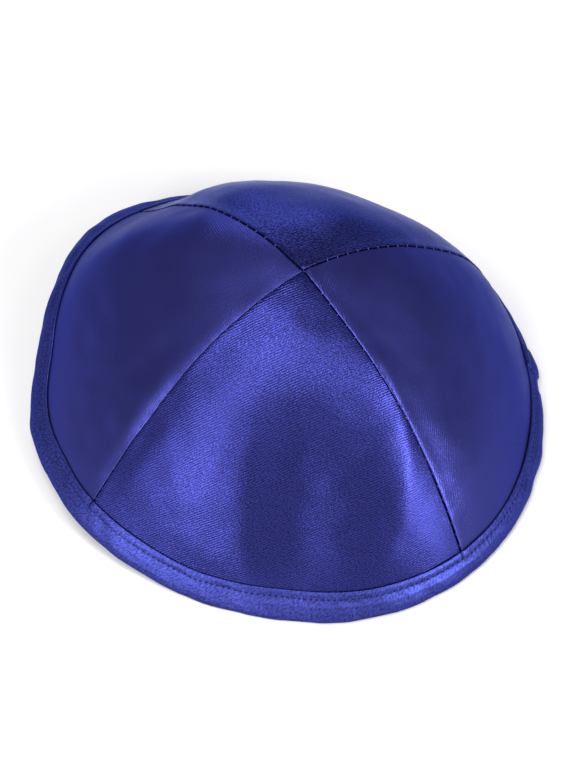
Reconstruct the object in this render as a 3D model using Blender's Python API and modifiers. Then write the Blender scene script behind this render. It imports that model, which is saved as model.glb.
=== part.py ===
# A skullcap of four satin panels with a bias tape folded round its rim, lying on its rim.
# Metres and degrees. +Z is up, the front is at -Y, and azimuths run counter-clockwise from +X.
from collections import namedtuple

import bpy
import numpy as np

# Driving sizes
RIM_REACH = 0.0800      # from the axis under the apex out to the cloth's edge, as a mean
CROWN_HEIGHT = 0.0683   # the middle of the cloth at the apex, above the floor
CLOTH_WALL = 0.0012     # satin with its backing
TAPE_WALL = 0.0010      # one side of the folded tape
TAPE_WIDTH = 0.0080     # the tape's outer side, from its top edge down to the cloth's edge
TAPE_INSIDE = 0.0070    # the tape's inner side
TAPE_PUFF = 0.0004      # how far the tape swells beside its stitch row
TAPE_FLAT = 0.0002      # how far the fold is pressed flat where it lies on the floor
OVERLAP_LENGTH = 0.0100 # where the tape's end lies over its start
OVERLAP_STEP = 0.0008   # the height of that end
OVERLAP_TURN = 9.0      # its azimuth
SEAM_DEPTH = 0.0005     # how deep a seam draws the cloth in
SEAM_WIDTH = 0.0012     # how far from the seam that fades to about a third
SEAM_RUNOUT = 0.0040    # how far above the tape a seam's crease begins to fade
FOLD_HEIGHT = 0.0020    # the tallest soft fold
GAP = 0.0004            # between pieces

# The dome, a row for each upright section through the apex. reach is a share of RIM_REACH, lift a share of
# CROWN_HEIGHT that the edge stands above where it would rest, crown and wall how far the section keeps level
# at the apex and steep at the edge, and slope its angle at the edge.
Section = namedtuple("Section", "azimuth reach lift crown wall slope")
SECTIONS = (
    Section(5, 0.913, 0.005, 0.49, 0.50, 76),
    Section(33, 0.901, 0.010, 0.39, 0.52, 83),
    Section(66, 0.928, 0.000, 0.53, 0.50, 68),
    Section(98, 0.935, 0.000, 0.50, 0.51, 84),
    Section(129, 1.112, 0.095, 0.54, 0.69, 43),
    Section(158, 1.043, 0.225, 0.54, 0.56, 62),
    Section(187, 1.053, 0.090, 0.49, 0.46, 58),
    Section(216, 1.036, 0.070, 0.47, 0.48, 62),
    Section(246, 0.981, 0.000, 0.53, 0.42, 57),
    Section(276, 1.008, 0.000, 0.48, 0.41, 51),
    Section(308, 1.006, 0.000, 0.37, 0.50, 77),
    Section(336, 0.961, 0.000, 0.44, 0.46, 74),
)

# The panels, each from one seam to the next.
Panel = namedtuple("Panel", "name start end")
PANELS = (
    Panel("panel_back", 33, 129),
    Panel("panel_left", 129, 216),
    Panel("panel_front", 216, 308),
    Panel("panel_right", 308, 393),
)

# Soft folds that run down from the apex. width is in degrees, height a share of FOLD_HEIGHT, negative for a
# hollow, and start and full are shares of the way down where it begins and where it has its height.
Fold = namedtuple("Fold", "azimuth width height start full")
FOLDS = (
    Fold(268, 9, -0.80, 0.25, 0.70),
    Fold(244, 11, 0.60, 0.15, 0.60),
    Fold(297, 8, 0.60, 0.20, 0.60),
    Fold(203, 8, -0.70, 0.20, 0.60),
    Fold(116, 9, 0.60, 0.30, 0.75),
    Fold(176, 8, -0.60, 0.60, 0.95),
)

# The tape's swell down its outer side: place is a share of TAPE_WIDTH, puff a share of TAPE_PUFF.
Swell = namedtuple("Swell", "place puff")
SWELLS = (
    Swell(0.00, 0.3),
    Swell(0.14, 1.0),
    Swell(0.27, 0.0),
    Swell(0.55, 1.0),
    Swell(0.85, 0.8),
)

# How finely the cloth is divided
PANEL_COLUMNS = 18
PANEL_ROWS = 16
FOLD_STEPS = 8          # round the tape's fold
INSIDE_STEPS = 3        # up its inner side
CURVE_SAMPLES = 61
BUNCHING = 0.60         # how much closer a panel's columns stand near its seams
EDGE_ZONE = 0.6         # the share of the way down where folds begin to keep the edge's height
NUDGE = 0.25            # degrees, for slopes across the sections

EDGE_SPAN = CLOTH_WALL / 2 + GAP + TAPE_WALL
REST_HEIGHT = EDGE_SPAN - TAPE_FLAT


def smooth_step(value):
    value = np.clip(value, 0.0, 1.0)
    return value * value * (3.0 - 2.0 * value)


def round_spline(azimuth, column):
    # A smooth closed curve through one column of the table: a cubic spline that joins its own start.
    knots = np.array([row.azimuth for row in SECTIONS], float)
    values = np.array([getattr(row, column) for row in SECTIONS], float)
    count = len(knots)
    steps = np.diff(np.append(knots, knots[0] + 360.0))
    rises = (np.roll(values, -1) - values) / steps
    matrix = np.zeros((count, count))
    for i in range(count):
        before = (i - 1) % count
        matrix[i, before] += steps[before]
        matrix[i, i] += 2.0 * (steps[before] + steps[i])
        matrix[i, (i + 1) % count] += steps[i]
    bends = np.linalg.solve(matrix, 6.0 * (rises - np.roll(rises, 1)))
    turned = (np.asarray(azimuth, float) - knots[0]) % 360.0
    span = np.searchsorted(knots - knots[0], turned, side="right") - 1
    after = (span + 1) % count
    step = steps[span]
    along = turned - (knots[span] - knots[0])
    left = step - along
    cubic = (bends[span] * left**3 + bends[after] * along**3) / (6.0 * step)
    line = (values[span] / step - bends[span] * step / 6.0) * left
    return cubic + line + (values[after] / step - bends[after] * step / 6.0) * along


def section(azimuth):
    # The four control points of the section's curve, as distance from the axis and height.
    reach = RIM_REACH * round_spline(azimuth, "reach")
    edge = REST_HEIGHT + CROWN_HEIGHT * np.maximum(round_spline(azimuth, "lift"), 0.0)
    level = round_spline(azimuth, "crown") * reach
    steep = round_spline(azimuth, "wall") * (CROWN_HEIGHT - edge)
    slope = np.radians(round_spline(azimuth, "slope"))
    top = np.full_like(reach, CROWN_HEIGHT)
    outward = (np.zeros_like(reach), level, reach - steep * np.cos(slope), reach)
    upward = (top, top, edge + steep * np.sin(slope), edge)
    return outward, upward, steep


def bezier(points, share):
    a, b, c, d = points
    rest = 1.0 - share
    return a * rest**3 + 3 * b * rest**2 * share + 3 * c * rest * share**2 + d * share**3


def bezier_slope(points, share):
    a, b, c, d = points
    rest = 1.0 - share
    return (b - a) * rest**2 + 2 * (c - b) * rest * share + (d - c) * share**2


def fold_relief(azimuth, share):
    relief = np.zeros_like(share)
    for fold in FOLDS:
        turn = (azimuth - fold.azimuth + 180.0) % 360.0 - 180.0
        grown = smooth_step((share - fold.start) / (fold.full - fold.start))
        relief += FOLD_HEIGHT * fold.height * grown * np.exp(-(turn / fold.width) ** 2)
    return relief


def seam_relief(azimuth, share, outward, steep):
    # A crease at each seam, shallow at the apex and gone where the tape covers the cloth.
    covered = max(TAPE_WIDTH, TAPE_INSIDE)
    shown = smooth_step((3.0 * steep * (1.0 - share) - covered) / SEAM_RUNOUT)
    begun = smooth_step(outward / (4.0 * SEAM_WIDTH))
    relief = np.zeros_like(share)
    for panel in PANELS:
        turn = (azimuth - panel.start + 180.0) % 360.0 - 180.0
        aside = outward * np.abs(np.sin(np.radians(np.clip(turn, -90.0, 90.0))))
        relief -= SEAM_DEPTH * shown * begun * np.exp(-aside / SEAM_WIDTH)
    return relief


def cloth(azimuth, share):
    # Points on the middle of the cloth, at an azimuth and a share of the way from the apex to the edge.
    azimuth, share = np.broadcast_arrays(np.asarray(azimuth, float), np.asarray(share, float))
    outs, ups, steep = section(azimuth)
    outward, upward = bezier(outs, share), bezier(ups, share)
    run, fall = bezier_slope(outs, share), bezier_slope(ups, share)
    length = np.hypot(run, fall)
    relief = fold_relief(azimuth, share) + seam_relief(azimuth, share, outward, steep)
    outward = outward - relief * fall / length
    # Toward the edge a fold moves the cloth in or out but keeps its height, so that the rim lies as stated.
    upward = upward + relief * run / length * (1.0 - smooth_step((share - EDGE_ZONE) / (1.0 - EDGE_ZONE)))
    turn = np.radians(azimuth)
    return np.stack([outward * np.cos(turn), outward * np.sin(turn), upward], axis=-1)


def unit(vectors):
    return vectors / np.linalg.norm(vectors, axis=-1, keepdims=True)


def cloth_frame(azimuth, share):
    # The point, the direction out of the cloth and the direction down along it.
    share = np.broadcast_to(share, np.broadcast(azimuth, share).shape)
    small = 1e-3
    across = cloth(azimuth + NUDGE, share) - cloth(azimuth - NUDGE, share)
    low, high = np.maximum(share - small, 0.0), np.minimum(share + small, 1.0)
    down = unit(cloth(azimuth, high) - cloth(azimuth, low))
    return cloth(azimuth, share), unit(np.cross(down, across)), down


def shares_above_edge(azimuth, distances):
    # For each azimuth, the shares of the way down that lie these distances above the edge, along the cloth.
    samples = np.linspace(0.0, 1.0, CURVE_SAMPLES)
    lines = cloth(azimuth[:, None], samples[None, :])
    steps = np.linalg.norm(np.diff(lines, axis=1), axis=-1)
    run = np.concatenate([np.zeros((len(azimuth), 1)), np.cumsum(steps, axis=1)], axis=1)
    rows = [np.interp(line[-1] - distances, line, samples) for line in run]
    return np.array(rows)


def seam_margin(seam, side, share):
    # How far a panel's middle stops from the seam's plane, so that both faces of its wall keep half a gap.
    turn = np.radians(seam)
    across = np.array([-np.sin(turn), np.cos(turn), 0.0])
    out = cloth_frame(np.full_like(share, seam + 2.0 * NUDGE * side), share)[1]
    return GAP / 2.0 + CLOTH_WALL / 2.0 * np.abs(out @ across)


def column_places():
    # Shares of the way from one seam to the next, closer together near the seams.
    even = np.linspace(0.0, 1.0, PANEL_COLUMNS + 1)
    return even - BUNCHING * np.sin(2.0 * np.pi * even) / (2.0 * np.pi)


def panel_surface(panel):
    first = 1.5 * GAP / RIM_REACH
    share = np.linspace(first, 1.0, PANEL_ROWS + 1)
    edges = []
    for seam, side in ((panel.start, 1.0), (panel.end, -1.0)):
        outward = bezier(section(np.full_like(share, seam))[0], share)
        turn = np.degrees(np.arcsin(seam_margin(seam, side, share) / outward))
        edges.append(seam + side * turn)
    azimuth = edges[0][:, None] + (edges[1] - edges[0])[:, None] * column_places()[None, :]
    return cloth(azimuth, share[:, None])


def overlap_rise(azimuth, reach):
    # One where the tape's end lies over its start, with a short ramp at both ends.
    half = np.degrees(OVERLAP_LENGTH / 2.0 / reach)
    ramp = np.degrees(OVERLAP_STEP / reach)
    turn = np.abs((azimuth - OVERLAP_TURN + 180.0) % 360.0 - 180.0)
    return np.clip((half - turn) / ramp, 0.0, 1.0)


def tape_stations():
    # The panels' own columns, so that tape and cloth bend together, and both ends of each ramp of the overlap.
    reach = RIM_REACH * round_spline(OVERLAP_TURN, "reach")
    half = np.degrees(OVERLAP_LENGTH / 2.0 / reach)
    ramp = np.degrees(OVERLAP_STEP / reach)
    ends = OVERLAP_TURN + np.array([-half, ramp - half, half - ramp, half])
    places = column_places()[:-1]
    columns = np.concatenate([panel.start + (panel.end - panel.start) * places for panel in PANELS])
    away = np.abs((columns[:, None] - ends[None, :] + 180.0) % 360.0 - 180.0).min(axis=1)
    kept = columns[away > ramp]
    return np.sort(np.concatenate([kept, ends]) % 360.0), reach


def tape_surface():
    # The tape's outer face: down the outside, round under the cloth's edge and up the inside.
    azimuth, reach = tape_stations()
    rise = OVERLAP_STEP * overlap_rise(azimuth, reach)[:, None, None]
    places = np.array([row.place for row in SWELLS])
    puffs = TAPE_PUFF * np.array([row.puff for row in SWELLS])[None, :, None]
    shares = shares_above_edge(azimuth, TAPE_WIDTH * (1.0 - places))
    point, out, _ = cloth_frame(azimuth[:, None], shares)
    outside = point + (EDGE_SPAN + puffs + rise) * out
    point, out, down = cloth_frame(azimuth[:, None], np.ones((1, 1)))
    angle = np.linspace(0.0, np.pi, FOLD_STEPS + 1)[None, :, None]
    swell = rise * np.clip(np.cos(angle), 0.0, 1.0)
    under = point + (EDGE_SPAN + swell) * (np.cos(angle) * out + np.sin(angle) * down)
    ups = TAPE_INSIDE * np.linspace(0.0, 1.0, INSIDE_STEPS + 1)[1:]
    shares = shares_above_edge(azimuth, ups)
    point, out, _ = cloth_frame(azimuth[:, None], shares)
    inside = point - EDGE_SPAN * out
    surface = np.concatenate([outside, under, inside], axis=1)
    surface[..., 2] = np.maximum(surface[..., 2], 0.0)
    return surface.swapaxes(0, 1)


def satin(name, colour, roughness):
    material = bpy.data.materials.new(name)
    material.use_nodes = True
    shader = material.node_tree.nodes["Principled BSDF"]
    shader.inputs["Base Color"].default_value = (*colour, 1.0)
    shader.inputs["Roughness"].default_value = roughness
    shader.inputs["Metallic"].default_value = 0.0
    return material


def shell(name, grid, closed, wall, offset, material, collection):
    # An open surface thickened to a wall. The grid's rows run downward and its columns run round, and where it
    # is closed the last column meets the first.
    rows, columns = grid.shape[:2]
    index = np.arange(rows * columns).reshape(rows, columns)
    if closed:
        index = np.concatenate([index, index[:, :1]], axis=1)
    corners = (index[:-1, :-1], index[1:, :-1], index[1:, 1:], index[:-1, 1:])
    faces = np.stack([corner.ravel() for corner in corners], axis=1)
    mesh = bpy.data.meshes.new(name)
    mesh.from_pydata(grid.reshape(-1, 3).tolist(), [], faces.tolist())
    mesh.materials.append(material)
    mesh.shade_smooth()
    piece = bpy.data.objects.new(name, mesh)
    collection.objects.link(piece)
    thicken = piece.modifiers.new("wall", "SOLIDIFY")
    thicken.thickness = wall
    thicken.offset = offset
    return piece


def main():
    for item in list(bpy.data.objects):
        bpy.data.objects.remove(item, do_unlink=True)
    collection = bpy.data.collections.new("kippah_skullcap")
    bpy.context.scene.collection.children.link(collection)
    tape = tape_surface()
    # The middle of the rim, seen from above, is the origin.
    corners = tape.reshape(-1, 3)
    middle = (corners.max(axis=0) + corners.min(axis=0)) / 2.0
    middle[2] = 0.0
    cloth_satin = satin("cloth_satin", (0.035, 0.040, 0.300), 0.35)
    tape_satin = satin("tape_satin", (0.040, 0.045, 0.330), 0.40)
    for panel in PANELS:
        shell(panel.name, panel_surface(panel) - middle, False, CLOTH_WALL, 0.0, cloth_satin, collection)
    shell("rim_binding", tape - middle, True, TAPE_WALL, -1.0, tape_satin, collection)


main()
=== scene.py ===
import math

import bpy
import numpy as np
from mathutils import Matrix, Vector


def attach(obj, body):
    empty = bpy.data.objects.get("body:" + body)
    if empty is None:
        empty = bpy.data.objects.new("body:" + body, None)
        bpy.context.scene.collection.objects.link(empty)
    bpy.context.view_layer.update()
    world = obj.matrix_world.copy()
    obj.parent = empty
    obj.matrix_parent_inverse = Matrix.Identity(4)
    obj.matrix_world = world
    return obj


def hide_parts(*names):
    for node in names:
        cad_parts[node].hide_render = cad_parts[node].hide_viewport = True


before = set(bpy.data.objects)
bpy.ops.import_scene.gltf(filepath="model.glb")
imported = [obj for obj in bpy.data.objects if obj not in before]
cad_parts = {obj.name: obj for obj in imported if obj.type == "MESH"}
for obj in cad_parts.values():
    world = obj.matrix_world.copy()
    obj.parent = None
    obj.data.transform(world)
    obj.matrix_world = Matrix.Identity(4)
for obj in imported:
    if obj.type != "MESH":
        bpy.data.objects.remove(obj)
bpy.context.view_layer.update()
print("frame loaded:", ", ".join(sorted(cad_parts)))

# The satin cap lies on its rim, open side down. Azimuths are in degrees, counter-clockwise from +X
# seen from above, about the upright line through the apex. Lengths are in metres.
dome = {
    "reach": 0.0800, "height": 0.0683,          # mean reach of the rim, and the apex above the floor
    "clothLength": 0.112,                       # about the cloth's length from the apex to the rim
    "clothWall": 0.0012, "tapeWall": 0.0010, "gap": 0.0004, "tapeFlat": 0.0002,
    "nudge": 0.25, "nudgeShare": 0.001,         # degrees and share of the way down, for slopes
    "edgeZone": 0.6, "edgeSamples": 90,         # below this share, folds start to keep the rim's height
    "columns": ("azimuth", "reach", "lift", "crown", "wall", "slope"),
    "rows": np.array([
        (5, 0.913, 0.005, 0.49, 0.50, 76),
        (33, 0.901, 0.010, 0.39, 0.52, 83),
        (66, 0.928, 0.000, 0.53, 0.50, 68),
        (98, 0.935, 0.000, 0.50, 0.51, 84),
        (129, 1.112, 0.095, 0.54, 0.69, 43),
        (158, 1.043, 0.225, 0.54, 0.56, 62),
        (187, 1.053, 0.090, 0.49, 0.46, 58),
        (216, 1.036, 0.070, 0.47, 0.48, 62),
        (246, 0.981, 0.000, 0.53, 0.42, 57),
        (276, 1.008, 0.000, 0.48, 0.41, 51),
        (308, 1.006, 0.000, 0.37, 0.50, 77),
        (336, 0.961, 0.000, 0.44, 0.46, 74),
    ]),
}
dome["edgeSpan"] = dome["clothWall"] / 2 + dome["gap"] + dome["tapeWall"]
dome["rest"] = dome["edgeSpan"] - dome["tapeFlat"]

# A little unevenness of the cloth: the height, size and seed of each noise, which fades above the rim.
unevenness = {"noises": ((0.00022, 0.034, 11), (0.00005, 0.011, 12)), "fade": 0.02}

# Soft folds that run down from the apex. start and full are the shares of the way down where each begins
# and has its height, and left is what is left of it at the rim.
folds = {
    "rimZone": 0.8,                             # share of the way down where they begin to lose height
    "rows": (
        # azimuth, width in degrees, height, start, full, left
        (268, 9, -0.0012, 0.25, 0.70, 0.4),
        (244, 11, 0.0012, 0.15, 0.60, 0.5),
        (203, 8, -0.0014, 0.20, 0.60, 1.0),
        (116, 9, 0.0012, 0.30, 0.75, 1.0),
        (176, 8, -0.0012, 0.60, 0.95, 1.0),
    ),
}

# Sharper creases and valleys. Each follows a quadratic curve of azimuths from the top to the rim, and has
# a width in degrees for each side. fade is the share of the way down where it is gone.
creases = {
    "softness": 2.2,                            # degrees over which a crest is rounded
    "rimZone": 0.8,                             # share of the way down where they begin to fade
    "rows": (
        # top, pull, rim, height, before, after, start, full, fade
        (246, 250, 258, 0.0018, 16, 8, 0.25, 0.78, 1.00),
        (318, 314, 279, 0.0020, 17, 10, 0.10, 0.50, 1.00),
        (216, 216, 216, -0.0017, 4.5, 6, 0.30, 0.60, 1.00),
        (308, 308, 308, -0.0009, 6, 22, 0.30, 0.78, 1.00),
    ),
}

# The seams between panels. raised is 1 where the allowance is pressed under the next panel
# counter-clockwise, and -1 where it is pressed under the one before.
seams = {
    "azimuth": (33, 129, 216, 308), "raised": (1, -1, 1, 1),
    "gap": (0.00028, 0.00032, 0.00017, 0.00017),   # from each seam's middle to the turned edge
    "depth": 0.00010, "width": 0.0008,          # the broad crease
    "roll": 0.00022,                            # radius of each panel's turned edge
    "ridge": 0.00034, "ridgeWidth": 0.0026,     # the allowance under the raised side
    "dip": 0.15,                                # share of the ridge that the other side is drawn down
    "pitch": 0.0045, "pucker": 0.00008, "puckerWidth": 0.0014,
    "sway": 2.1, "swayRate": 90,                # makes the puckers' spacing uneven
    "clear": 0.0040, "runout": 0.0030,          # the relief ends this far above the rim, and fades
    "tip": 0.0032,                              # how far from the apex it has its height
}


def smoothStep(value):
    # 3 v squared - 2 v cubed, with v kept between 0 and 1
    value = np.clip(value, 0.0, 1.0)
    return value * value * (3 - 2 * value)


def closedSpline(azimuth, column):
    # a cubic through one column of the table whose end joins its start with the same slope and bend
    knots = dome["rows"][:, 0]
    values = dome["rows"][:, dome["columns"].index(column)]
    steps = np.diff(np.append(knots, knots[0] + 360))
    rises = (np.roll(values, -1) - values) / steps
    before = np.roll(steps, 1)
    matrix = np.diag(2 * (before + steps))
    matrix += np.roll(np.diag(steps), 1, axis=1) + np.roll(np.diag(before), -1, axis=1)
    bends = np.linalg.solve(matrix, 6 * (rises - np.roll(rises, 1)))
    turned = (azimuth - knots[0]) % 360
    span = np.searchsorted(knots - knots[0], turned, side="right") - 1
    after = (span + 1) % len(knots)
    step, along = steps[span], turned - (knots[span] - knots[0])
    left = step - along
    return ((bends[span] * left**3 + bends[after] * along**3) / (6 * step)
            + (values[span] / step - bends[span] * step / 6) * left
            + (values[after] / step - bends[after] * step / 6) * along)


def sectionCurve(azimuth):
    # four control points of the upright section: level at the apex, at its slope at the rim
    reach = dome["reach"] * closedSpline(azimuth, "reach")
    edge = dome["rest"] + dome["height"] * np.maximum(closedSpline(azimuth, "lift"), 0)
    steep = closedSpline(azimuth, "wall") * (dome["height"] - edge)
    slope = np.radians(closedSpline(azimuth, "slope"))
    top = np.full_like(reach, dome["height"])
    outs = (0 * reach, closedSpline(azimuth, "crown") * reach, reach - steep * np.cos(slope), reach)
    return outs, (top, top, edge + steep * np.sin(slope), edge), steep


def bezier(points, share):
    # the cubic with these four control points
    a, b, c, d = points
    rest = 1 - share
    return a * rest**3 + 3 * b * rest**2 * share + 3 * c * rest * share**2 + d * share**3


def bezierSlope(points, share):
    # a third of its derivative
    a, b, c, d = points
    rest = 1 - share
    return (b - a) * rest**2 + 2 * (c - b) * rest * share + (d - c) * share**2


def halfTurn(angle):
    return (angle + 180) % 360 - 180            # the same angle between -180 and 180


def softNoise(points, size, seed, waves=28):
    # a sum of sine waves in random directions, all about the given size, with a mean square of one
    rng = np.random.default_rng(seed)
    aim = rng.normal(size=(waves, points.shape[-1]))
    aim /= np.linalg.norm(aim, axis=1, keepdims=True)
    aim *= 2 * np.pi / (size * rng.uniform(0.7, 1.5, (waves, 1)))
    phase = rng.uniform(0, 2 * np.pi, waves)
    total = np.zeros(points.shape[:-1])
    for direction, start in zip(aim, phase):
        total += np.sin(points @ direction + start)
    return total / math.sqrt(waves / 2)


def foldRelief(azimuth, share):
    # a fold is height x exp(-(turn / width) squared) and grows down the cloth; a crease is
    # height x exp(-|turn| / width) with a rounded crest, and has its own width on each side
    relief = np.zeros(np.broadcast(azimuth, share).shape)
    nearRim = smoothStep((share - folds["rimZone"]) / (1 - folds["rimZone"]))
    for middle, width, height, start, full, left in folds["rows"]:
        grown = smoothStep((share - start) / (full - start)) * (1 - (1 - left) * nearRim)
        relief += height * grown * np.exp(-(halfTurn(azimuth - middle) / width) ** 2)
    soft, zone = creases["softness"], creases["rimZone"]
    for top, pull, rim, height, before, after, start, full, fade in creases["rows"]:
        crest = top * (1 - share) ** 2 + 2 * pull * share * (1 - share) + rim * share**2
        turn = halfTurn(azimuth - crest)
        away = (np.hypot(turn, soft) - soft) / np.where(turn < 0, before, after)
        begun = smoothStep((share - start) / (full - start))
        faded = smoothStep((share - zone) / (fade - zone))
        relief += height * begun * (1 - faded) * np.exp(-away)
    return relief


def heightAbove(steep, share):
    # about how far a point lies above the rim: the section's slope at its end by what is left of it
    return 3 * steep * (1 - share)


def seamRelief(azimuth, share, outward, steep):
    # at a distance d from the seam, a ridge on its raised side falls as exp(-(d / width) squared), and a
    # crease and a pucker at each stitch are taken off it, which fall as exp(-d / width)
    shown = smoothStep((heightAbove(steep, share) - seams["clear"]) / seams["runout"])
    begun = smoothStep(outward / seams["tip"])
    along = share * dome["clothLength"]
    relief = np.zeros(np.broadcast(azimuth, share).shape)
    for middle, raised in zip(seams["azimuth"], seams["raised"]):
        turn = np.clip(halfTurn(azimuth - middle), -90, 90)
        aside = outward * np.sin(np.radians(turn))
        far = np.abs(aside)
        crease = seams["depth"] * np.exp(-far / seams["width"])
        side = smoothStep(0.5 + aside * raised / seams["roll"])
        ridge = seams["ridge"] * np.exp(-(far / seams["ridgeWidth"]) ** 2)
        ridge = ridge * ((1 + seams["dip"]) * side - seams["dip"])
        sway = seams["sway"] * np.sin(along * seams["swayRate"] + middle)
        ripple = 0.5 + 0.5 * np.cos(2 * np.pi * along / seams["pitch"] + sway)
        pucker = seams["pucker"] * ripple * np.exp(-far / seams["puckerWidth"])
        relief += shown * begun * (ridge - crease - pucker)
    return relief


def clothSurface(azimuth, share, uneven=False):
    # the section's point, moved along its normal by the folds, the seams and a little unevenness
    azimuth, share = np.broadcast_arrays(np.asarray(azimuth, float), np.asarray(share, float))
    outs, ups, steep = sectionCurve(azimuth)
    outward, upward = bezier(outs, share), bezier(ups, share)
    run, fall = bezierSlope(outs, share), bezierSlope(ups, share)
    length = np.hypot(run, fall)
    relief = foldRelief(azimuth, share) + seamRelief(azimuth, share, outward, steep)
    turn = np.radians(azimuth)
    if uneven:
        spot = np.stack([outward * np.cos(turn), outward * np.sin(turn), upward], axis=-1)
        noise = sum(height * softNoise(spot, size, seed) for height, size, seed in unevenness["noises"])
        relief = relief + smoothStep(heightAbove(steep, share) / unevenness["fade"]) * noise
    keepHeight = 1 - smoothStep((share - dome["edgeZone"]) / (1 - dome["edgeZone"]))
    outward = outward - relief * fall / length
    upward = upward + relief * run / length * keepHeight
    return np.stack([outward * np.cos(turn), outward * np.sin(turn), upward], axis=-1)


def unit(vectors):
    # each vector over its length
    return vectors / np.linalg.norm(vectors, axis=-1, keepdims=True)


def clothFrame(azimuth, share, uneven=False):
    # point, outward normal and downward direction, from small steps each way
    azimuth, share = np.broadcast_arrays(np.asarray(azimuth, float), np.asarray(share, float))
    nudge, small = dome["nudge"], dome["nudgeShare"]
    ahead, behind = (clothSurface(azimuth + step, share, uneven) for step in (nudge, -nudge))
    high, low = np.maximum(share - small, 0), np.minimum(share + small, 1)
    down = unit(clothSurface(azimuth, low, uneven) - clothSurface(azimuth, high, uneven))
    return clothSurface(azimuth, share, uneven), unit(np.cross(down, ahead - behind)), down


def sharesAbove(azimuth, distances):
    # for each azimuth, the shares of the way down that lie these distances above the cloth's edge
    samples = np.linspace(dome["edgeZone"], 1, dome["edgeSamples"])
    lines = clothSurface(azimuth[:, None], samples[None, :])
    steps = np.linalg.norm(np.diff(lines, axis=1), axis=-1)
    run = np.concatenate([np.zeros((len(azimuth), 1)), np.cumsum(steps, axis=1)], axis=1)
    return np.array([np.interp(line[-1] - distances, line, samples) for line in run])


def gridFaces(rows, columns, closeRows, closeColumns):
    # the quads between the points of a grid, joined at its ends where it closes
    index = np.arange(rows * columns).reshape(rows, columns)
    if closeRows:
        index = np.concatenate([index, index[:1]])
    if closeColumns:
        index = np.concatenate([index, index[:, :1]], axis=1)
    corners = (index[:-1, :-1], index[1:, :-1], index[1:, 1:], index[:-1, 1:])
    return np.stack([corner.ravel() for corner in corners], axis=1)


def makePiece(name, points, faces, uv, material, replaced=(), shineFrom=(0, 10, 0)):
    # the satin's shine spreads across the direction of shineFrom, and the texture space's centre is set
    # far away in that direction
    mesh = bpy.data.meshes.new(name)
    mesh.vertices.add(len(points))
    mesh.vertices.foreach_set("co", np.asarray(points, np.float32).ravel())
    mesh.loops.add(faces.size)
    mesh.loops.foreach_set("vertex_index", faces.astype(np.int32).ravel())
    mesh.polygons.add(len(faces))
    mesh.polygons.foreach_set("loop_start", np.arange(0, faces.size, faces.shape[1], dtype=np.int32))
    layer = mesh.uv_layers.new(name="cutPattern")
    layer.data.foreach_set("uv", np.asarray(uv, np.float32).reshape(-1))
    mesh.update(calc_edges=True)
    mesh.validate()
    mesh.shade_smooth()
    mesh.materials.append(material)
    mesh.use_auto_texspace = False
    mesh.texspace_location, mesh.texspace_size = shineFrom, (1, 1, 1)
    piece = bpy.data.objects.new(name, mesh)
    bpy.context.scene.collection.objects.link(piece)
    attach(piece, "root")
    if replaced:
        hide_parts(*replaced)
    return piece


class Wire:
    # one output socket; arithmetic on it adds the Math nodes
    def __init__(self, maker, socket):
        self.maker, self.socket = maker, socket

    def math(self, operation, first, second):
        return self.maker.add("ShaderNodeMath", {"operation": operation}, {0: first, 1: second})

    def __add__(self, other): return self.math("ADD", self, other)
    def __radd__(self, other): return self.math("ADD", other, self)
    def __sub__(self, other): return self.math("SUBTRACT", self, other)
    def __rsub__(self, other): return self.math("SUBTRACT", other, self)
    def __mul__(self, other): return self.math("MULTIPLY", self, other)
    def __rmul__(self, other): return self.math("MULTIPLY", other, self)
    def __truediv__(self, other): return self.math("DIVIDE", self, other)
    def __rtruediv__(self, other): return self.math("DIVIDE", other, self)
    def __pow__(self, other): return self.math("POWER", self, other)


class Maker:
    # one material and its node tree
    def __init__(self, name):
        self.material = bpy.data.materials.new(name)
        self.material.use_nodes = True
        self.tree = self.material.node_tree
        self.shader = self.tree.nodes["Principled BSDF"]

    def feed(self, node, values):
        for key, value in values.items():
            if isinstance(value, Wire):
                self.tree.links.new(value.socket, node.inputs[key])
            else:
                node.inputs[key].default_value = value

    def add(self, kind, settings=None, values=None, output=0):
        node = self.tree.nodes.new(kind)
        for key, value in (settings or {}).items():
            setattr(node, key, value)
        self.feed(node, values or {})
        return Wire(self, node.outputs[output])

    def sine(self, value):
        return self.add("ShaderNodeMath", {"operation": "SINE"}, {0: value})

    def mixColour(self, factor, first, second):
        values = {0: factor, 6: first, 7: second}
        return self.add("ShaderNodeMix", {"data_type": "RGBA"}, values, output=2)


# The satin. Lengths are in metres. Each look below adds its own weights: the grain and line weights for
# the relief, and the grain and line tones for the colour: the weave's texture with painted sheen.
satin = {
    "colour": (0.0235, 0.0272, 0.162, 1), "deep": (0.0116, 0.0118, 0.066, 1),
    "roughness": 0.36, "metallic": 0.90, "anisotropic": 0.62,
    "specular": 0.20, "edgeTint": (0.42, 0.46, 0.86, 1),
    "patternSize": 0.200,                       # that the pattern map spans
    "linePitch": 0.00084, "lineSlant": 0.60,    # the weave's slanted lines
    "waver": 0.0012, "waverSize": 0.012,        # how far they wander
    "threadPitch": 0.00030, "threadWeight": 0.06,
    "grainAcross": 0.00060, "grainDown": 0.00034,
    "blotchSize": 0.018, "blotchTone": 0.35, "blotchRoughness": 0.10,
    "bump": 0.00004,
}


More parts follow.
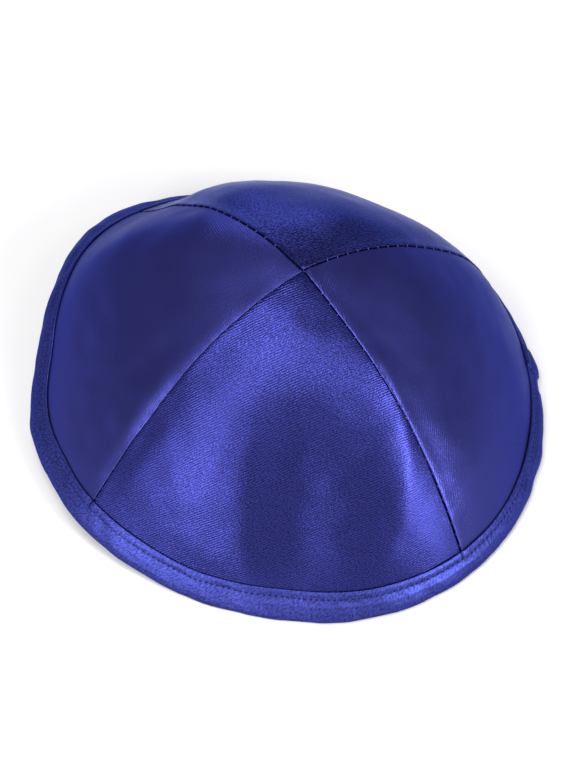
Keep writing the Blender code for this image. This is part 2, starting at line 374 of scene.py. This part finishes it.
def satinMaterial(name, changes):
    # The relief is a short slanted grain, sine(2 pi x slanted distance / pitch) for the weave's lines and
    # a finer sine for its threads. The colour goes from deep to light with the grain, the lines and large
    # soft noise; the light and dark specks of the grain and lines are partly the weave and partly painted
    # sheen.
    look = {**satin, **changes}
    maker = Maker(name)
    uv = maker.add("ShaderNodeUVMap", {"uv_map": "cutPattern"})
    metric = maker.add("ShaderNodeVectorMath", {"operation": "SCALE"}, {0: uv, 3: look["patternSize"]})
    across = maker.add("ShaderNodeSeparateXYZ", {}, {0: metric})
    down = Wire(maker, across.socket.node.outputs[1])
    slanted = down + across * look["lineSlant"]
    waver = maker.add("ShaderNodeTexNoise", {"noise_dimensions": "3D"},
                      {"Vector": metric, "Scale": 1 / look["waverSize"], "Detail": 2.0})
    lines = maker.sine((slanted + waver * look["waver"]) * (2 * math.pi / look["linePitch"]))
    threads = maker.sine(across * (2 * math.pi / look["threadPitch"]))
    place = maker.add("ShaderNodeCombineXYZ", {},
                      {0: across / look["grainAcross"], 1: slanted / look["grainDown"]})
    grain = maker.add("ShaderNodeTexNoise", {"noise_dimensions": "2D"},
                      {"Vector": place, "Scale": 1.0, "Detail": 1.0, "Roughness": 0.5})
    blotch = maker.add("ShaderNodeTexNoise", {"noise_dimensions": "3D"},
                       {"Vector": metric, "Scale": 1 / look["blotchSize"], "Detail": 4.0,
                        "Roughness": 0.6})
    height = grain * look["grainWeight"] + lines * look["lineWeight"] + threads * look["threadWeight"]
    bump = maker.add("ShaderNodeBump", {},
                     {"Height": height, "Distance": look["bump"], "Strength": 1.0})
    # painted sheen: the weave's grain and lines lighten and darken the colour, as yarns catching the
    # light would
    speckleAndSheen = (grain - 0.5) * look["grainSheenTone"] + lines * look["lineSheenTone"]
    shade = (blotch - 0.5) * look["blotchTone"] + speckleAndSheen + 0.5
    maker.feed(maker.shader, {
        "Base Color": maker.mixColour(shade, look["deep"], look["colour"]),
        "Roughness": look["roughness"] + (blotch - 0.5) * look["blotchRoughness"],
        "Normal": bump, "Metallic": look["metallic"], "Anisotropic": look["anisotropic"],
        "Specular IOR Level": look["specular"], "Specular Tint": look["edgeTint"],
    })
    return maker.material


# The same satin in three copies, with light and shade painted in: the sides' copy is painted lighter and
# its speckle faint, and the back's is painted a little lighter with strong speckle, where the light
# catches the weave
frontSatin = satinMaterial("royalBlueSatin", {
    "roughness": 0.32, "anisotropic": 0.55,
    "grainWeight": 1.3, "lineWeight": 0.42, "grainSheenTone": 4.2, "lineSheenTone": 0.60,
    "grainAcross": 0.00055, "grainDown": 0.00045,
})
# the side panels' copy, painted lighter, with only faint painted speckle
sideSatinPaintedLighter = satinMaterial("royalBlueSatinSidewaysPaintedLighter", {
    "colour": (0.0350, 0.0385, 0.200, 1), "deep": (0.0215, 0.0218, 0.112, 1), "roughness": 0.33,
    "grainWeight": 0.8, "lineWeight": 0.20, "grainSheenTone": 0.7, "lineSheenTone": 0.05,
})
# the back panel's copy, painted a little lighter, with a brighter edge tint and strong painted sparkle
backSatin = satinMaterial("royalBlueSatinBehindPaintedLighter", {
    "colour": (0.0270, 0.0310, 0.172, 1), "deep": (0.0125, 0.0130, 0.070, 1),
    "edgeTint": (0.45, 0.50, 0.92, 1),
    "grainWeight": 2.4, "lineWeight": 0.20, "grainSheenTone": 4.5, "lineSheenTone": 0.30,
    "grainAcross": 0.00085, "grainDown": 0.00070,
})
# the tape's lighter colour is painted sheen, for the broad shine of its bias-cut satin
tapeSatinPaintedSheen = satinMaterial("tapeSatinPaintedSheen", {
    "colour": (0.0335, 0.0415, 0.218, 1), "deep": (0.0165, 0.0185, 0.098, 1),
    "roughness": 0.46, "anisotropic": 0.3, "lineSlant": 1.0,
    "grainWeight": 0.9, "lineWeight": 0.10, "grainSheenTone": 3.6, "lineSheenTone": 0.10,
    "grainAcross": 0.0008, "grainDown": 0.0006,
})
twist = {"anisotropic": 0.0, "grainWeight": 0.5, "lineWeight": 0.2, "grainSheenTone": 0.8, "lineSheenTone": 0.1}
# the rim thread is near black: partly the thread's own colour, partly painted shade of the pits it sinks
# into
rimThreadPaintedShade = satinMaterial("blueThreadPaintedShade", {
    **twist, "roughness": 0.6, "metallic": 0.2,
    "colour": (0.0035, 0.0045, 0.034, 1), "deep": (0.0022, 0.0026, 0.022, 1),
})
seamThread = satinMaterial("paleBlueThread", {
    **twist, "roughness": 0.4, "metallic": 0.35,
    "colour": (0.065, 0.080, 0.32, 1), "deep": (0.045, 0.052, 0.24, 1),
})
print("materials made")

# The rim's tape, folded round the cloth's edge and sewn down near its top
tape = {
    "width": 0.0080, "inside": 0.0070,          # the outer and the inner side
    "stations": 1200, "legSteps": 30, "foldSteps": 10, "insideSteps": 4, "backSteps": 5,
    # how far the outer side stands off the cloth, in mm, from the top edge (0) to the fold (1)
    "stand": ((0.00, 0.55), (0.08, 0.80), (0.18, 0.86), (0.27, 0.82),
              (0.36, 0.96), (0.55, 1.50), (0.85, 1.70), (1.00, 1.55)),
    "standSteps": 161, "standBlur": 7,          # fine steps of that table, and how many blur it
    "edgeRadius": 0.0003,                       # of the folded top edge
    "backGap": 0.00005, "backStart": 0.0006,    # of the outer side's back, from cloth and fold
    "stitchPlace": 0.27, "stitchPitch": 0.00185, "pucker": 0.00010, "puckerWidth": 0.0009,
    "overlapTurn": 9.0, "overlapLength": 0.010, "overlapStep": 0.0007,
    "overlapReach": 0.92,                       # the rim's share of its mean reach there
    "overlapEase": 0.0022, "overlapEnd": 0.0008,   # the lengths of its slow and its quick side
    "wrinkle": 0.00012, "wrinkleSize": 0.009, "wrinkleSeed": 21,
    "wrinkleSlant": 0.8, "wrinkleStretch": 0.35, "wrinkleZone": 0.3,
}


def tapeStand(above, along, turn):
    # the height of the tape's outer side over the cloth: its section smoothed a little, less a pucker at
    # each stitch, plus slanted wrinkles and one more layer where its end overlaps
    places, heights = np.array(tape["stand"]).T
    fine, blur = np.linspace(0, 1, tape["standSteps"]), tape["standBlur"]
    bell = np.exp(-np.linspace(-2, 2, 2 * blur + 1) ** 2)
    padded = np.pad(np.interp(fine, places, heights), blur, mode="edge")
    section = np.convolve(padded, bell / bell.sum(), mode="valid") / 1000
    share = 1 - above / tape["width"]
    aside = (share - tape["stitchPlace"]) * tape["width"]
    ripple = 0.5 + 0.5 * np.cos(2 * np.pi * along / tape["stitchPitch"])
    pucker = tape["pucker"] * (ripple - 0.4) * np.exp(-(aside / tape["puckerWidth"]) ** 2)
    spots = (along + tape["wrinkleSlant"] * above, tape["wrinkleStretch"] * above, 0 * above)
    spots = np.stack(np.broadcast_arrays(*spots), axis=-1)
    wrinkle = tape["wrinkle"] * softNoise(spots, tape["wrinkleSize"], tape["wrinkleSeed"])
    wrinkle *= smoothStep(share / tape["wrinkleZone"])
    half = tape["overlapLength"] / 2
    side = np.radians(halfTurn(turn - tape["overlapTurn"])) * dome["reach"] * tape["overlapReach"]
    rise = tape["overlapStep"] * smoothStep((half - side) / tape["overlapEase"])
    rise = rise * smoothStep((half + side) / tape["overlapEnd"])
    return np.interp(share, fine, section) - pucker + wrinkle + rise


def rimLength(azimuth):
    # the lengths of the steps along the cloth's edge, summed up to each azimuth and all round
    rim = clothSurface(azimuth, np.ones_like(azimuth))
    steps = np.linalg.norm(np.roll(rim, -1, axis=0) - rim, axis=1)
    return np.concatenate([[0], np.cumsum(steps)[:-1]]), steps.sum()


def tapeProfile():
    # Rows round the tape's section. On a leg (0): distance above the cloth's edge, offset from the
    # cloth's middle. On the fold (1): angle round the cloth's edge, radius. Last comes the share of the
    # stand-off to add.
    span, wall, width, inside = dome["edgeSpan"], dome["tapeWall"], tape["width"], tape["inside"]
    cloth, small = dome["clothWall"] / 2, tape["edgeRadius"]
    back, inner = cloth + tape["backGap"], wall / 2
    quarter = [(math.sin(a), 1 - math.cos(a)) for a in np.radians((70, 45, 20))]
    half = [(math.sin(a), 1 - math.cos(a)) for a in np.radians((30, 60, 90, 120, 150))]
    fold = np.linspace(0, np.pi, tape["foldSteps"] + 1)[1:-1]
    steps = np.linspace(0, inside, tape["insideSteps"])
    rows = [(0, width + small * up, cloth - small * aside, 1) for up, aside in quarter]
    rows += [(0, width * share, cloth, 1) for share in np.linspace(1, 0, tape["legSteps"])]
    for a in fold:
        outside = (1 + math.cos(a)) / 2
        rows.append((1, a, span * (1 - math.cos(a)) / 2 + cloth * outside, outside))
    rows += [(0, above, -span, 0) for above in steps]
    rows += [(0, inside + inner * up, -span + inner * aside, 0) for up, aside in half]
    rows += [(0, above, -span + wall, 0) for above in steps[::-1]]
    rows += [(1, a, span - wall, 0) for a in fold[::-1]]
    rows += [(0, above, back, 0) for above in np.linspace(tape["backStart"], width, tape["backSteps"])]
    rows += [(0, width + small * up, back + small * aside, 0) for up, aside in quarter[::-1]]
    return np.array(rows)


def tapeSurface():
    # each row of the profile swept round the rim: off the cloth along its normal on a leg, and round the
    # cloth's edge on the fold
    azimuth = np.linspace(0, 360, tape["stations"], endpoint=False)
    along = rimLength(azimuth)[0]
    profile = tapeProfile()
    points = np.zeros((len(profile), len(azimuth), 3))
    leg = profile[:, 0] == 0
    above, offset, weight = profile[leg, 1], profile[leg, 2], profile[leg, 3]
    shares = sharesAbove(azimuth, above)
    point, out, down = clothFrame(azimuth[:, None], shares)
    stand = tapeStand(above[None, :], along[:, None], azimuth[:, None])
    points[leg] = (point + (offset + weight * stand)[..., None] * out).swapaxes(0, 1)
    angle, radius, weight = profile[~leg, 1], profile[~leg, 2], profile[~leg, 3]
    point, out, down = clothFrame(azimuth[:, None], np.ones((1, 1)))
    stand = tapeStand(np.zeros((1, 1)), along[:, None], azimuth[:, None])
    reach = (radius + weight * stand)[..., None]
    turned = np.cos(angle)[:, None] * out + np.sin(angle)[:, None] * down
    points[~leg] = (point + reach * turned).swapaxes(0, 1)
    points[..., 2] = np.maximum(points[..., 2], 0)          # the fold lies flat on the floor
    return points, azimuth, along


tapePoints, tapeAzimuth, tapeAlong = tapeSurface()
tapeLength = rimLength(tapeAzimuth)[1]
middle = np.array([-0.00479, -0.00153, 0.0])    # the middle of the rim, from the apex: the origin


def tapePiece():
    # the pattern map is the distance round the rim by the distance across the tape
    rows, columns = tapePoints.shape[:2]
    faces = gridFaces(rows, columns, True, True)
    steps = np.linalg.norm(np.diff(tapePoints[:, 0], axis=0), axis=1)
    run = np.concatenate([[0], np.cumsum(steps)])
    u = np.append(tapeAlong, tapeLength)
    v = np.append(run, run[-1] + 0.0004)        # the last row's step back to the first
    column, row = np.meshgrid(np.arange(columns), np.arange(rows))
    corners = [(row, column), (row + 1, column), (row + 1, column + 1), (row, column + 1)]
    uv = np.stack([np.stack([u[c].ravel(), v[r].ravel()], axis=-1) for r, c in corners], axis=1)
    points = tapePoints.reshape(-1, 3) - middle
    return makePiece("rimTape", points, faces, uv / satin["patternSize"], tapeSatinPaintedSheen,
                     ("rim_binding",))


rimTape = tapePiece()
print("rim tape made, round the rim", round(tapeLength * 1000), "mm")

# The four panels, each a wall from one seam to the next with its edges turned down into the seams
panels = {
    "rows": (
        # name, node, satin, where its shine comes from
        ("backSatin", "panel_back", backSatin, (0, 10, 0)),
        ("leftSatin", "panel_left", sideSatinPaintedLighter, (10, 0, 0)),
        ("frontSatin", "panel_front", frontSatin, (0, 10, 0)),
        ("rightSatin", "panel_right", sideSatinPaintedLighter, (10, 0, 0)),
    ),
    "stepsAcross": 150, "stepsDown": 167, "rollSteps": 6,
    "bunching": 0.5,                            # how much closer the steps lie beside the seams
    "tipShares": (0.0015, 0.004, 0.008), "tipEnd": 0.014,          # the first shares of the way down
    "tipReach": 0.35, "turnLimit": 0.6,         # keep the turned edges apart at the tip
    "tuck": 0.0008, "tuckWall": 0.0002,         # how far an edge goes down, and its wall there
    "allowance": 0.0016, "allowanceGap": 0.00008,   # its reach past the seam, and its gap to the panel
    # on the pattern map: the widest turn, the tip in metres, and where the inner side lies from the outer
    "patternTurn": 0.8, "patternTip": (0.07, 0.005), "patternInside": (0.25, 0),
}


def panelGrid(start, end):
    # Across the panel: up out of one seam, over its rolled edge, across, and down into the other seam.
    # Where the allowance is pressed under this panel, it reaches on behind the next and closes the seam.
    even = np.linspace(0, 1, panels["stepsAcross"])
    place = even - panels["bunching"] * np.sin(2 * np.pi * even) / (2 * np.pi)
    body = np.linspace(panels["tipEnd"], 1, panels["stepsDown"])
    share = np.concatenate([panels["tipShares"], body])[:, None]
    roll = np.radians(np.linspace(0, 90, panels["rollSteps"] + 1))
    sunk = (1 - np.sin(roll)) * seams["roll"]
    rows = dict(zip(seams["azimuth"], zip(seams["raised"], seams["gap"])))
    azimuths, drops = [], []
    for seam, side in ((start, 1), (end, -1)):
        raised, gap = rows[seam % 360]
        rolled = gap + (1 - np.cos(roll)) * seams["roll"]
        if raised == side:
            under = dome["clothWall"] + panels["allowanceGap"]
            aside = np.concatenate([[-panels["allowance"], gap], rolled])
            drop = np.concatenate([[under, under], sunk])
        else:
            aside = np.concatenate([[gap], rolled])
            drop = np.concatenate([[seams["roll"] + panels["tuck"]], sunk])
        outward = bezier(sectionCurve(np.full_like(share, seam))[0], share)
        shrink = np.minimum(1, panels["tipReach"] * outward / seams["roll"])
        turn = np.clip(aside * shrink / outward, -panels["turnLimit"], panels["turnLimit"])
        azimuths.append(seam + side * np.degrees(np.arcsin(turn)))
        drops.append(drop * shrink)
    first, last = azimuths
    main = first[:, -1:] + (last[:, -1:] - first[:, -1:]) * place
    azimuth = np.concatenate([first[:, :-1], main, last[:, -2::-1]], axis=1)
    sink = np.concatenate([drops[0][:, :-1], 0 * main, drops[1][:, -2::-1]], axis=1)
    return azimuth, np.broadcast_to(share, azimuth.shape), sink


def panelPattern(azimuth, point, down, centre):
    # the panel laid flat round its tip with its mid-line straight down, and its inner side beside it
    arc = np.radians(azimuth - centre) * np.hypot(point[..., 0], point[..., 1])
    spread = np.clip(arc / np.maximum(down, 1e-4), -panels["patternTurn"], panels["patternTurn"])
    flat = np.stack([down * np.sin(spread), down * np.cos(spread)], axis=-1) + panels["patternTip"]
    flat = flat / satin["patternSize"]
    inside = flat + panels["patternInside"]
    return np.concatenate([flat, inside[:, ::-1]], axis=1).reshape(-1, 2)


def panelPiece(name, node, look, shineFrom, start, end):
    # the outer face is the cloth's middle plus half its wall along the normal, less the sink of its
    # edges, and the inner face is the middle less half the wall
    azimuth, share, sink = panelGrid(start, end)
    point, out, _ = clothFrame(azimuth, share, uneven=True)
    half = dome["clothWall"] / 2
    outer = point + (half - sink)[..., None] * out
    inner = point - half * out
    # where an edge is tucked down past the inner face, the inner face goes with it
    inner -= np.maximum(sink - 2 * half + panels["tuckWall"], 0)[..., None] * out
    loop = np.concatenate([outer, inner[:, ::-1]], axis=1)
    rows, columns = loop.shape[:2]
    near = np.arange(columns // 2 - 1)
    far = columns - 1 - near
    bottom = (rows - 1) * columns + np.stack([near, far, far - 1, near + 1], axis=1)
    tip = np.stack([near, near + 1, far - 1, far], axis=1)
    faces = np.concatenate([gridFaces(rows, columns, False, True), bottom, tip])
    steps = np.linalg.norm(np.diff(point, axis=0), axis=-1)
    down = np.concatenate([np.zeros((1, steps.shape[1])), np.cumsum(steps, axis=0)])
    pattern = panelPattern(azimuth, point, down, (start + end) / 2)
    piece = makePiece(name, loop.reshape(-1, 3) - middle, faces, pattern[faces], look,
                      (node,), shineFrom)


turns = seams["azimuth"] + (seams["azimuth"][0] + 360,)
for row, start, end in zip(panels["rows"], turns, turns[1:]):
    panelPiece(*row, start, end)

# Thread: short arched stitches, in the groove of the tape and across the seams
thread = {
    "steps": 7, "sides": 6,
    "radius": 0.00020, "length": 0.00100, "arch": 0.00010,         # round the tape
    "seamRadius": 0.00012, "seamReach": 0.0009, "seamArch": 0.00010, "seamSink": 0.00006,
    "seamPitch": 0.0045, "seamStart": 0.011, "seamEnd": 0.101,     # from the apex
    "patternLength": 0.002, "patternStep": 0.0003,                 # of a stitch on the pattern map
}


def stitchMesh(name, first, last, up, radius, arch, material):
    # each stitch follows a sine arch from its first end to its last, and its radius goes down at its ends
    # with the square root of 1 - (2 t - 1) to the fourth
    t = np.linspace(0, 1, thread["steps"])[None, :, None]
    path = first[:, None] * (1 - t) + last[:, None] * t
    path = path + up[:, None] * (arch * np.sin(np.pi * t) - 0.5 * radius)
    side = np.cross(unit(last - first), up)
    angle = np.linspace(0, 2 * np.pi, thread["sides"], endpoint=False)[None, None, :, None]
    ring = np.cos(angle) * side[:, None, None] + np.sin(angle) * up[:, None, None]
    girth = radius * np.sqrt(np.clip(1 - (2 * t[..., None] - 1) ** 4, 0.02, 1))
    points = path[:, :, None] + girth * ring
    count, steps, sides = points.shape[:3]
    starts = np.arange(count)[:, None, None] * steps * sides
    faces = (gridFaces(steps, sides, False, True)[None, :, ::-1] + starts).reshape(-1, 4)
    # the six-sided end caps, as two quads each
    fan = np.arange(sides).reshape(1, 1, -1)
    caps = np.concatenate([starts + fan, starts + (steps - 1) * sides + fan[..., ::-1]], axis=1)
    caps = caps.reshape(-1, sides)
    faces = np.concatenate([faces, caps[:, [0, 1, 2, 3]], caps[:, [0, 3, 4, 5]]])
    along = np.arange(count)[:, None, None, None] * thread["patternStep"]
    along = along + t[..., None] * thread["patternLength"]
    local = np.concatenate(np.broadcast_arrays(along, angle * radius), axis=-1)
    uv = local.reshape(-1, 2)[faces] / satin["patternSize"]
    return makePiece(name, points.reshape(-1, 3) - middle, faces, uv, material)


def tapeStitches():
    # one stitch in each pitch, on the tape's outer side, with both ends at its height there
    count = int(tapeLength / tape["stitchPitch"])
    pitch = tapeLength / count
    ends = (np.arange(count)[:, None] + 0.5) * pitch + np.array([-0.5, 0.5]) * thread["length"]
    turns = np.interp(ends % tapeLength, np.append(tapeAlong, tapeLength), np.append(tapeAzimuth, 360))
    above = tape["width"] * (1 - tape["stitchPlace"])
    spots, ups = [], []
    for turn, along in zip(turns.T, ends.T):
        point, out, _ = clothFrame(turn[:, None], sharesAbove(turn, np.array([above])))
        stand = tapeStand(np.full((1, 1), above), along[:, None], turn[:, None])
        spots.append((point + (dome["clothWall"] / 2 + stand)[..., None] * out)[:, 0])
        ups.append(out[:, 0])
    stitchMesh("rimStitches", *spots, ups[0], thread["radius"], thread["arch"], rimThreadPaintedShade)


def seamStitches():
    # one stitch across the seam in each pitch, from one panel's face to the other's
    height = dome["clothWall"] / 2 - thread["seamSink"]
    places = np.arange(thread["seamStart"], thread["seamEnd"], thread["seamPitch"])
    places = places / dome["clothLength"]
    firsts, lasts, ups = [], [], []
    for seam in seams["azimuth"]:
        outward = bezier(sectionCurve(np.full_like(places, seam))[0], places)
        turn = np.degrees(np.arcsin(thread["seamReach"] / 2 / outward))
        (first, firstOut, _), (last, lastOut, _) = (
            clothFrame(seam + side * turn, places, uneven=True) for side in (-1, 1))
        firsts.append(first + height * firstOut)
        lasts.append(last + height * lastOut)
        ups.append(unit(firstOut + lastOut))
    ends = [np.concatenate(rows) for rows in (firsts, lasts, ups)]
    stitchMesh("seamStitches", *ends, thread["seamRadius"], thread["seamArch"], seamThread)


tapeStitches()
seamStitches()
print("stitches made")

# Camera, at the photograph's angle
view = {
    "elevation": 54.745, "distance": 0.98238,
    "focus": 3158.1, "frameHeight": 768, "sensor": 36,   # pixels, pixels and mm
    "apexOffset": (0.00489, 0.00028),           # the apex, from the point under the target
    "targetHeight": 0.025,
    "slide": (0.00041, -0.00845),               # of the aim, across and up the picture
    "clip": (0.05, 50),
}


def placeCamera():
    # the camera stands off the target along the elevation, and aims at the target moved by the slide
    rise = math.radians(view["elevation"])
    apex = Vector((-middle[0], -middle[1], 0))
    target = apex - Vector((*view["apexOffset"], 0)) + Vector((0, 0, view["targetHeight"]))
    back = Vector((0, -math.cos(rise), math.sin(rise)))
    right, up = Vector((1, 0, 0)), Vector((0, math.sin(rise), math.cos(rise)))
    aim = target + right * view["slide"][0] + up * view["slide"][1]
    data = bpy.data.cameras.new("camera")
    camera = bpy.data.objects.new("camera", data)
    bpy.context.scene.collection.objects.link(camera)
    camera.location = target + back * view["distance"]
    camera.rotation_euler = (aim - camera.location).to_track_quat("-Z", "Y").to_euler()
    data.sensor_width = view["sensor"]
    data.lens = view["focus"] / view["frameHeight"] * view["sensor"]
    data.clip_start, data.clip_end = view["clip"]
    bpy.context.scene.camera = camera


placeCamera()

# Floor and light. Each lamp faces the cap.
studio = {
    "floor": (0.52, 0.52, 0.525, 1), "floorRoughness": 0.9, "floorSize": 6.0,
    "world": (1.0, 1.0, 1.0, 1), "worldStrength": 0.42,
    "lamps": (
        # name, place, width, height, watts
        ("frontLeft", (-1.02, -1.08, 0.62), 0.36, 1.2, 26.0),
        ("frontRight", (1.12, -0.97, 0.62), 0.40, 1.2, 39.0),
        ("lowLeft", (-0.60, -1.36, 0.16), 0.25, 0.35, 2.5),
        ("highRight", (0.78, -0.68, 1.15), 0.35, 0.5, 3.5),
        ("overhead", (-0.34, -0.30, 1.44), 0.6, 1.2, 26.0),
        ("behind", (-0.02, 1.50, 0.30), 0.4, 0.4, 3.0),
    ),
}


def makeStudio():
    half = studio["floorSize"] / 2
    corners = np.array([(-half, -half, 0), (half, -half, 0), (half, half, 0), (-half, half, 0)])
    mesh = bpy.data.meshes.new("floor")
    mesh.from_pydata(corners.tolist(), [], [(0, 1, 2, 3)])
    floor = bpy.data.objects.new("floor", mesh)
    bpy.context.scene.collection.objects.link(floor)
    maker = Maker("paleFloor")
    maker.feed(maker.shader, {"Base Color": studio["floor"], "Roughness": studio["floorRoughness"]})
    mesh.materials.append(maker.material)
    world = bpy.data.worlds.new("studio")
    world.use_nodes = True
    background = world.node_tree.nodes["Background"]
    background.inputs["Color"].default_value = studio["world"]
    background.inputs["Strength"].default_value = studio["worldStrength"]
    bpy.context.scene.world = world
    bpy.context.scene.view_settings.view_transform = "Standard"
    for name, place, width, height, power in studio["lamps"]:
        lamp = bpy.data.lights.new(name, "AREA")
        lamp.shape, lamp.size, lamp.size_y, lamp.energy = "RECTANGLE", width, height, power
        holder = bpy.data.objects.new(name, lamp)
        bpy.context.scene.collection.objects.link(holder)
        holder.location = place
        holder.rotation_euler = (-Vector(place)).to_track_quat("-Z", "Y").to_euler()


makeStudio()
print("studio made")
